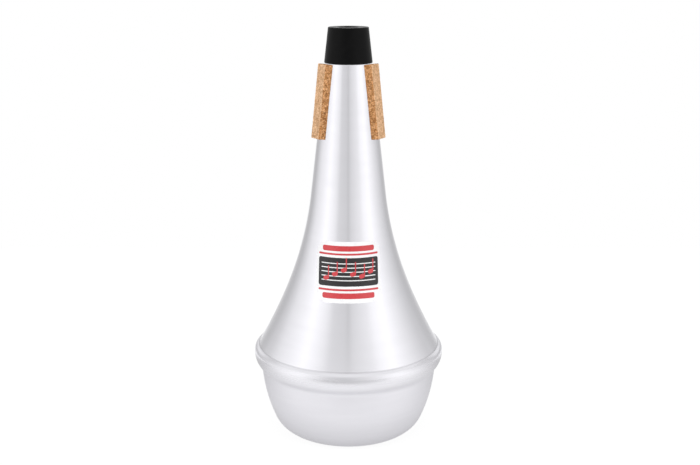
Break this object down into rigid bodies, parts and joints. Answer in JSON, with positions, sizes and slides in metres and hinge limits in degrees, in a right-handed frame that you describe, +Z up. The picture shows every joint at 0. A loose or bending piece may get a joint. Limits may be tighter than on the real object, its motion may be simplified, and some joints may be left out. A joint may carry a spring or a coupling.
{
  "type": "trombone straight mute",
  "caption": "Conical metal mute that stands on a closed bowl base: it plugs a trombone bell on cork strips round its neck and mutes through its open rubber tip.",
  "frame": {"origin": "centre of the flat base that the mute stands on", "axes": "+Z up the mute's axis to the rubber tip; the label faces -Y, and -X and +X are the front corks' sides"},
  "size_m": [0.1232, 0.1232, 0.2619],
  "materials": {
    "polished_aluminium": "spun and polished, bright with fine turning lines",
    "satin_aluminium": "spun, satin",
    "black_rubber": "matt moulded",
    "cork": "granulated cork, cut and sanded",
    "label_vinyl": "glossy printed sticker"
  },
  "bodies": {
    "root": {"cone_shell": "polished_aluminium", "base_bowl": "satin_aluminium", "rubber_tip": "black_rubber", "cork_strip_right": "cork", "cork_strip_rear": "cork", "cork_strip_left": "cork", "front_label": "label_vinyl"}
  },
  "joints": []
}
